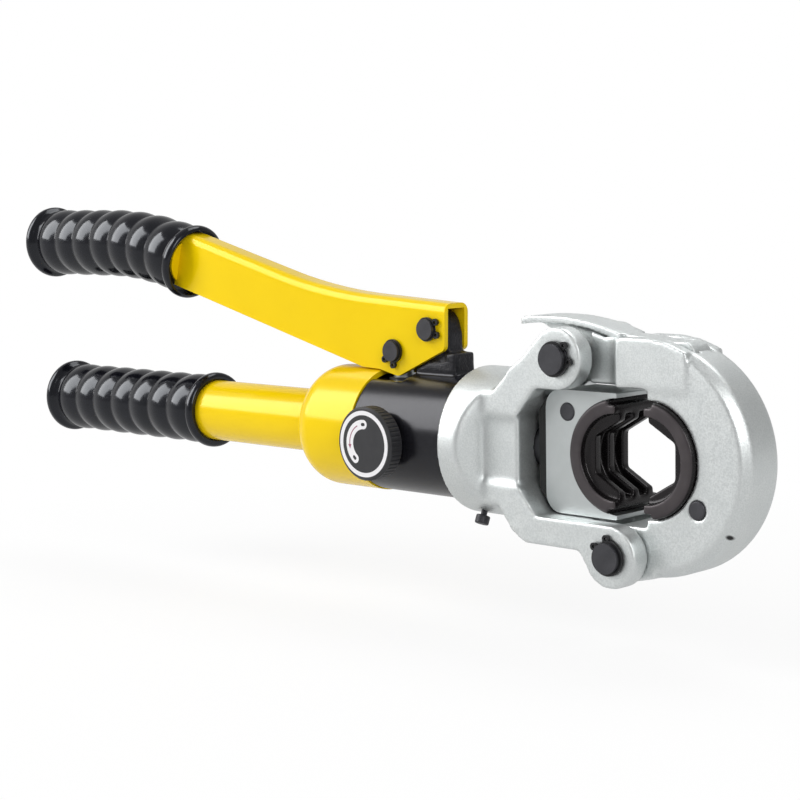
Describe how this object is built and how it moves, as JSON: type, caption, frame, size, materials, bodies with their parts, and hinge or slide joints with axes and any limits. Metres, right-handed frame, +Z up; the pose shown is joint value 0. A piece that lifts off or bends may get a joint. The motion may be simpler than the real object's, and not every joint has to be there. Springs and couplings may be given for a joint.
{
  "type": "hydraulic crimping tool",
  "caption": "Hand-pumped hydraulic crimping tool: a pump with two long handles, and a swivel head whose hinged, latched jaw and sliding ram close a pair of half dies on a pipe.",
  "frame": {"origin": "centre of the front half die's parting face, on the pipe axis", "axes": "+X along the tool towards the jaw, +Y along the pipe away from the release knob, +Z up on the pump lever side"},
  "size_m": [0.4759, 0.0712, 0.1603],
  "materials": {
    "yellow_enamel": "gloss enamel",
    "black_vinyl": "glossy dipped vinyl",
    "black_steel": "black oxide, satin",
    "zinc_casting": "zinc plated, fine grain",
    "satin_steel": "satin",
    "die_steel": "dark oxide, satin",
    "dark_pin_steel": "black oxide",
    "clip_steel": "phosphated",
    "knob_plastic": "satin",
    "label_print": "printed film",
    "valve_brass": "turned",
    "seal_rubber": "matte"
  },
  "bodies": {
    "pump": {"pump_body": "black_steel", "reservoir_cover": "yellow_enamel", "handle_tube": "yellow_enamel", "tube_plug": "satin_steel", "lower_grip": "black_vinyl", "oil_bladder": "seal_rubber", "suction_filter": "valve_brass", "inlet_ball": "satin_steel", "outlet_ball": "satin_steel", "outlet_spring": "satin_steel", "outlet_plug": "valve_brass", "relief_ball": "satin_steel", "relief_spring": "satin_steel", "relief_screw": "dark_pin_steel", "plunger_seal": "seal_rubber", "gland_nut": "valve_brass", "fulcrum_pin": "dark_pin_steel", "fulcrum_clips": "clip_steel", "swivel_seal": "seal_rubber"},
    "handle": {"pump_lever": "yellow_enamel", "upper_grip": "black_vinyl", "plunger_pin": "dark_pin_steel", "plunger_clips": "clip_steel"},
    "plunger": {"pump_plunger": "satin_steel"},
    "release_valve": {"release_knob": "knob_plastic", "knob_label": "label_print", "release_stem": "satin_steel"},
    "head": {"head": "zinc_casting", "swivel_screw": "dark_pin_steel", "upper_pin": "dark_pin_steel", "upper_pin_clips": "clip_steel", "hinge_pin": "dark_pin_steel", "hinge_pin_clips": "clip_steel", "return_spring": "satin_steel"},
    "ram": {"ram": "satin_steel", "ram_buffer": "seal_rubber", "piston": "dark_pin_steel", "piston_seal": "seal_rubber", "rear_die": "die_steel", "ram_button_spring": "satin_steel"},
    "ram_button": {"ram_button": "dark_pin_steel"},
    "jaw": {"jaw": "zinc_casting", "front_die": "die_steel", "jaw_button_spring": "satin_steel", "latch_pin": "satin_steel"},
    "jaw_button": {"jaw_button": "dark_pin_steel"},
    "latch": {"latch": "zinc_casting"}
  },
  "joints": [
    {"name": "handle_hinge", "type": "hinge", "parent": "pump", "child": "handle", "pos_m": [-0.128, 0, 0.0492], "axis": [0, 1, 0], "range_deg": [0, 50]},
    {"name": "plunger_slide", "type": "slide", "parent": "pump", "child": "plunger", "axis": [0, 0, 1], "range_m": [0, 0.0209]},
    {"name": "release_turn", "type": "hinge", "parent": "pump", "child": "release_valve", "pos_m": [-0.1415, -0.033, -0.002], "axis": [0, 1, 0], "range_deg": [0, 90]},
    {"name": "head_swivel", "type": "hinge", "parent": "pump", "child": "head", "pos_m": [-0.085, 0, 0], "axis": [1, 0, 0], "range_deg": [-175, 175]},
    {"name": "ram_slide", "type": "slide", "parent": "head", "child": "ram", "axis": [1, 0, 0], "range_m": [0, 0.0143], "stiffness_N_per_m": 3000, "springref_m": -0.006, "deforming": ["return_spring"]},
    {"name": "ram_button_press", "type": "slide", "parent": "ram", "child": "ram_button", "axis": [0, 1, 0], "range_m": [0, 0.0025], "stiffness_N_per_m": 800, "springref_m": -0.002, "deforming": ["ram_button_spring"]},
    {"name": "jaw_hinge", "type": "hinge", "parent": "head", "child": "jaw", "pos_m": [-0.0122, 0, -0.0411], "axis": [0, 1, 0], "range_deg": [0, 60]},
    {"name": "jaw_button_press", "type": "slide", "parent": "jaw", "child": "jaw_button", "axis": [0, 1, 0], "range_m": [0, 0.0025], "stiffness_N_per_m": 800, "springref_m": -0.002, "deforming": ["jaw_button_spring"]},
    {"name": "latch_lift", "type": "hinge", "parent": "jaw", "child": "latch", "pos_m": [0.013, 0, 0.0428], "axis": [0, 1, 0], "range_deg": [0, 90]}
  ],
  "couplings": [
    {"joint": "plunger_slide", "follows": "handle_hinge", "m_per_rad": 0.023858},
    {"joint": "latch_lift", "follows": "jaw_hinge", "ratio": 1.5}
  ]
}
